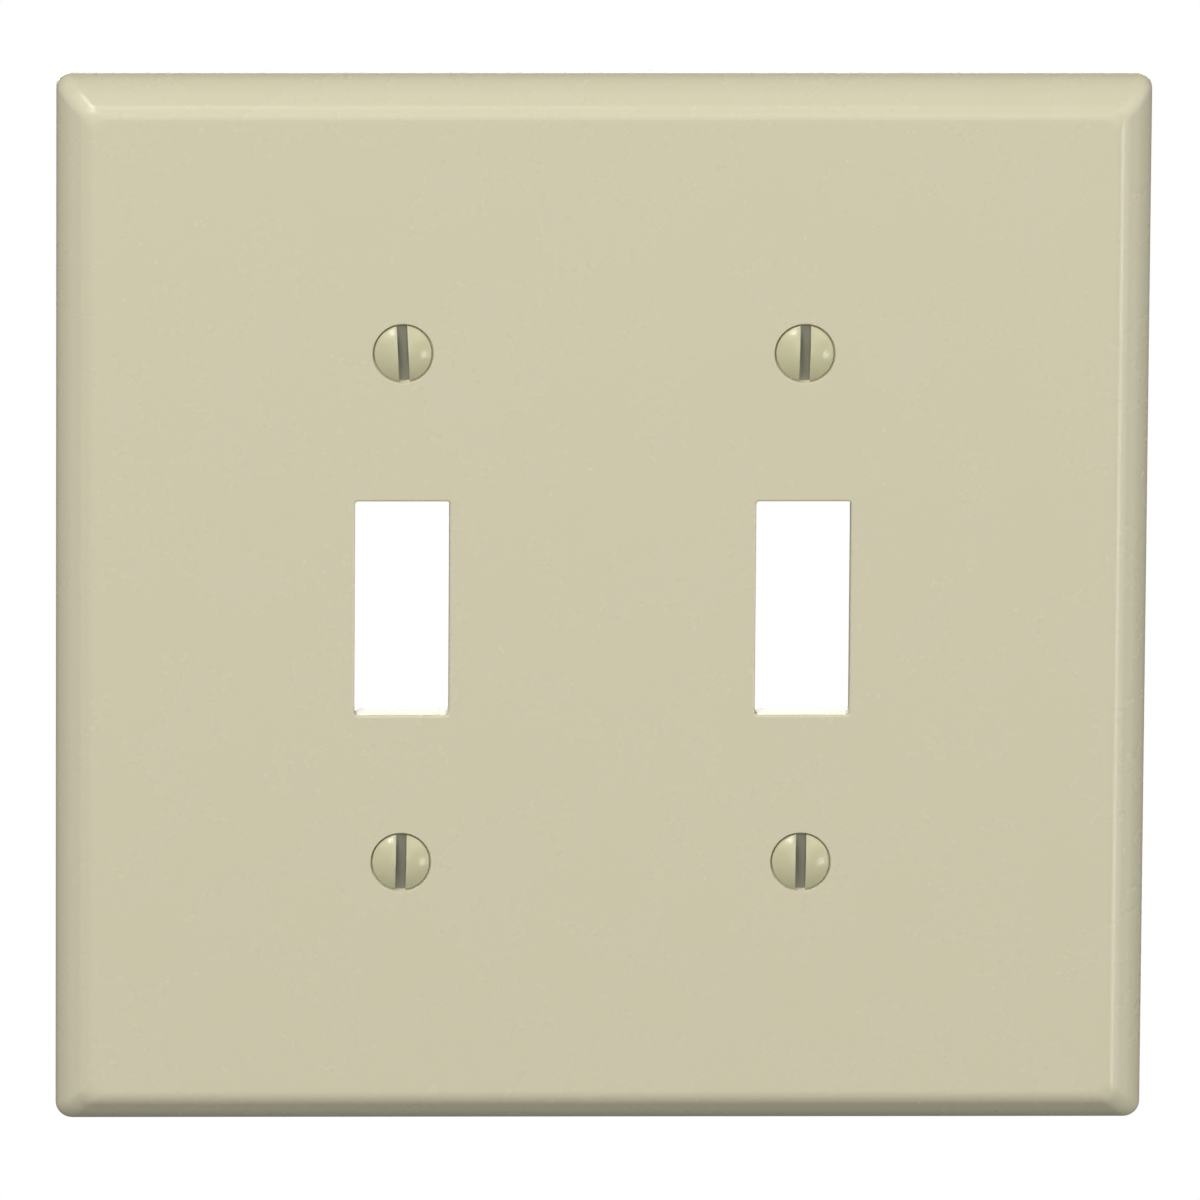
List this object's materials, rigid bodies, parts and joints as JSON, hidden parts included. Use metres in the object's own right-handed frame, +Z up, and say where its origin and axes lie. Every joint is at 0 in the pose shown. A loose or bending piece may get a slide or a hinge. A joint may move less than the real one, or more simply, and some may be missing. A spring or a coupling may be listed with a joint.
{
  "type": "toggle switch wall plate",
  "caption": "Ivory wall plate that covers two toggle switches side by side, with rounded sloping edges and slotted oval-head screws painted to match.",
  "frame": {"origin": "on the wall plane, midway between the toggle openings and the centre of the screw pattern", "axes": "+Z up, +X to the right seen from the front, +Y into the wall, so the face looks along -Y"},
  "size_m": [0.1254, 0.0136, 0.1238],
  "materials": {
    "ivory_plastic": "smooth moulded thermoset, satin gloss, ivory right through",
    "painted_steel": "steel with glossy ivory enamel on the head, worn through in the slot, bare zinc-plated shank"
  },
  "bodies": {
    "plate": {"wall_plate": "ivory_plastic"},
    "upper_left_screw": {"screw_upper_left": "painted_steel"},
    "upper_right_screw": {"screw_upper_right": "painted_steel"},
    "lower_left_screw": {"screw_lower_left": "painted_steel"},
    "lower_right_screw": {"screw_lower_right": "painted_steel"}
  },
  "joints": [
    {"name": "turn_upper_left", "type": "hinge", "parent": "plate", "child": "upper_left_screw", "pos_m": [-0.02302, -0.00638, 0.03017], "axis": [0, 1, 0], "continuous": true},
    {"name": "turn_upper_right", "type": "hinge", "parent": "plate", "child": "upper_right_screw", "pos_m": [0.02302, -0.00638, 0.03017], "axis": [0, 1, 0], "continuous": true},
    {"name": "turn_lower_left", "type": "hinge", "parent": "plate", "child": "lower_left_screw", "pos_m": [-0.02302, -0.00638, -0.03017], "axis": [0, 1, 0], "continuous": true},
    {"name": "turn_lower_right", "type": "hinge", "parent": "plate", "child": "lower_right_screw", "pos_m": [0.02302, -0.00638, -0.03017], "axis": [0, 1, 0], "continuous": true}
  ]
}
